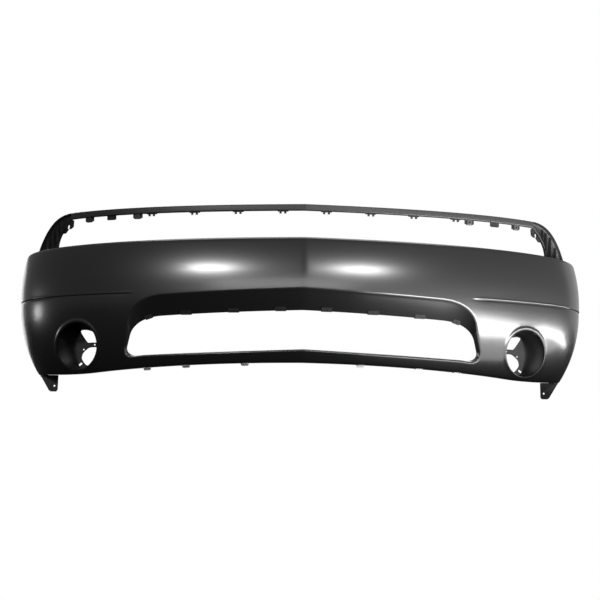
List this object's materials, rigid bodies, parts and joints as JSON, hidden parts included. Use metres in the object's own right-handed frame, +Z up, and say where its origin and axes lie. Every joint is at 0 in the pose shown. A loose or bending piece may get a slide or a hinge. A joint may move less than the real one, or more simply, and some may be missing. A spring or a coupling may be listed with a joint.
{
  "type": "bumper cover",
  "caption": "Full-width front bumper cover with a header bar over the grille opening, a wide lower intake and round fog lamp holes.",
  "frame": {"origin": "on the ground plane under the middle of the part's box, at the tips of the foot brackets", "axes": "+Z up, the front faces -Y, +X towards the car's left side, which is on the right as the front is seen"},
  "size_m": [1.9, 0.5918, 0.5837],
  "materials": {
    "skin": "smooth black primer, satin",
    "header": "moulded, fine grain",
    "bracket": "moulded black",
    "steel": "zinc plated"
  },
  "bodies": {
    "root": {"bumper_skin": "skin", "header_bar": "header", "left_lamp_pillar": "bracket", "right_lamp_pillar": "bracket", "left_fog_bucket": "bracket", "right_fog_bucket": "bracket", "left_foot_bracket": "bracket", "right_foot_bracket": "bracket", "left_bucket_screws": "steel", "right_bucket_screws": "steel", "left_pillar_screws": "steel", "right_pillar_screws": "steel", "left_foot_screws": "steel", "right_foot_screws": "steel", "header_snap_clips": "bracket", "lamp_tab_nuts": "steel", "intake_grille_clips": "steel", "chin_nuts": "steel", "left_arch_nuts": "steel", "right_arch_nuts": "steel"}
  },
  "joints": []
}
